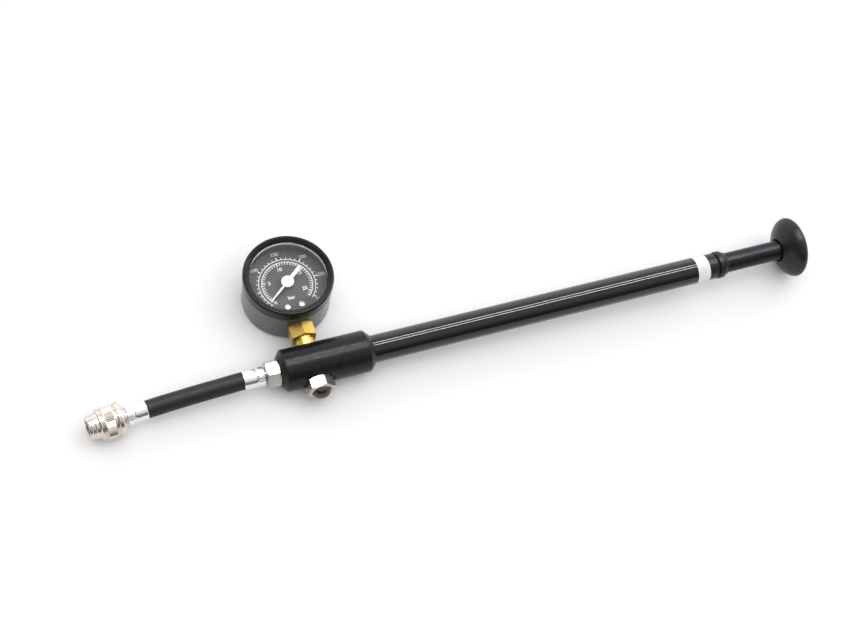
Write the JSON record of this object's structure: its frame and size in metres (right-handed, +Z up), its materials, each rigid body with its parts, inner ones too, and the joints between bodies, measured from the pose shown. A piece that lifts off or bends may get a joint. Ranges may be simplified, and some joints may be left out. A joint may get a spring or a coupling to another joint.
{
  "type": "shock pump",
  "caption": "High-pressure hand pump for suspension shocks: a slim barrel and plunger, a head with a dial gauge and bleed button, and a short hose with a knurled valve chuck.",
  "frame": {"origin": "on the bench the pump lies on, under the middle of its box without the hose and chuck", "axes": "+X along the pump towards the knob (the barrel itself rises 1.1 degrees that way as it lies), +Y towards the gauge, +Z up out of the dial"},
  "size_m": [0.3478, 0.0768, 0.0287],
  "materials": {
    "black_anodised": "satin black anodised",
    "gloss_black": "gloss black",
    "white_plastic": "satin white",
    "black_plastic": "satin black",
    "black_rubber": "matte",
    "grey_rubber": "matte",
    "dark_anodised": "satin dark anodised",
    "steel": "plain",
    "brass": "turned",
    "nickel": "bright nickel",
    "aluminium": "bright",
    "case_black": "satin black",
    "bezel_black": "gloss black",
    "window": "clear",
    "dial": "matte dark grey with white marks",
    "pointer_white": "satin off-white",
    "red_fibre": "matte"
  },
  "bodies": {
    "head": {"body_block": "black_anodised", "barrel": "gloss_black", "white_ring": "white_plastic", "gland_nut": "black_plastic", "rod_bush": "brass", "rod_wiper": "black_rubber", "bumper_ring": "black_rubber", "seat_gasket": "black_rubber", "valve_seat": "brass", "check_spring": "steel", "gauge_case": "case_black", "gauge_bezel": "bezel_black", "gauge_window": "window", "window_gasket": "grey_rubber", "dial_plate": "dial", "dial_screws": "nickel", "gauge_socket": "brass", "gauge_gasket": "red_fibre", "bourdon_tube": "brass", "tube_tip": "brass", "movement_plates": "brass", "movement_pillars": "brass", "hair_spring": "brass", "bleed_nut": "nickel", "bleed_spring": "steel", "hose_nut": "nickel", "hose_port_seal": "black_rubber", "hose_ferrule": "aluminium", "hose": "black_rubber", "chuck_ferrule": "aluminium", "chuck_stem": "nickel", "chuck_seal": "black_rubber", "depressor_pin": "brass"},
    "plunger_ring": {"piston_o_ring": "black_rubber"},
    "handle": {"piston_rod": "dark_anodised", "piston": "aluminium", "knob": "black_plastic", "knob_stud": "steel"},
    "bleed_valve": {"bleed_button": "steel", "bleed_o_ring": "black_rubber"},
    "check_valve": {"check_poppet": "brass", "check_seal": "black_rubber"},
    "sector": {"sector_gear": "brass"},
    "link": {"sector_link": "steel"},
    "pointer": {"pinion_shaft": "steel", "pointer": "pointer_white"},
    "chuck": {"chuck_body": "nickel", "chuck_collar": "nickel"}
  },
  "joints": [
    {"name": "handle_slide", "type": "slide", "parent": "head", "child": "plunger_ring", "axis": [0.9998, 0, 0.0191], "range_m": [-0.025, 0.134]},
    {"name": "handle_spin", "type": "hinge", "parent": "plunger_ring", "child": "handle", "pos_m": [-0.06295, -0.02145, 0.01059], "axis": [0.9998, 0, 0.0191], "continuous": true},
    {"name": "bleed_press", "type": "slide", "parent": "head", "child": "bleed_valve", "axis": [0, 1, 0], "range_m": [0, 0.0016], "stiffness_N_per_m": 500, "springref_m": -0.0015, "deforming": ["bleed_spring"]},
    {"name": "check_lift", "type": "slide", "parent": "head", "child": "check_valve", "axis": [-0.9998, 0, -0.0191], "range_m": [0, 0.0008], "stiffness_N_per_m": 150, "springref_m": -0.002, "deforming": ["check_spring"]},
    {"name": "sector_swing", "type": "hinge", "parent": "head", "child": "sector", "pos_m": [-0.10694, 0.0095, 0.00975], "axis": [-0.0191, 0, 0.9998], "range_deg": [0, 44.3], "stiffness_Nm_per_rad": 0.002, "springref_deg": -5.73},
    {"name": "pointer_turn", "type": "hinge", "parent": "head", "child": "pointer", "pos_m": [-0.10694, 0.01795, 0.00975], "axis": [-0.0191, 0, 0.9998], "range_deg": [-266, 0], "deforming": ["hair_spring"]},
    {"name": "link_swing", "type": "hinge", "parent": "sector", "child": "link", "pos_m": [-0.10986, 0.01295, 0.0111], "axis": [-0.0191, 0, 0.9998], "range_deg": [-59, 0]},
    {"name": "chuck_spin", "type": "hinge", "parent": "head", "child": "chuck", "pos_m": [-0.19639, -0.0247, 0.0075], "axis": [-0.9957, -0.0927, 0], "continuous": true}
  ],
  "couplings": [
    {"joint": "pointer_turn", "follows": "sector_swing", "ratio": -6},
    {"joint": "link_swing", "follows": "sector_swing", "ratio": -1.317}
  ]
}
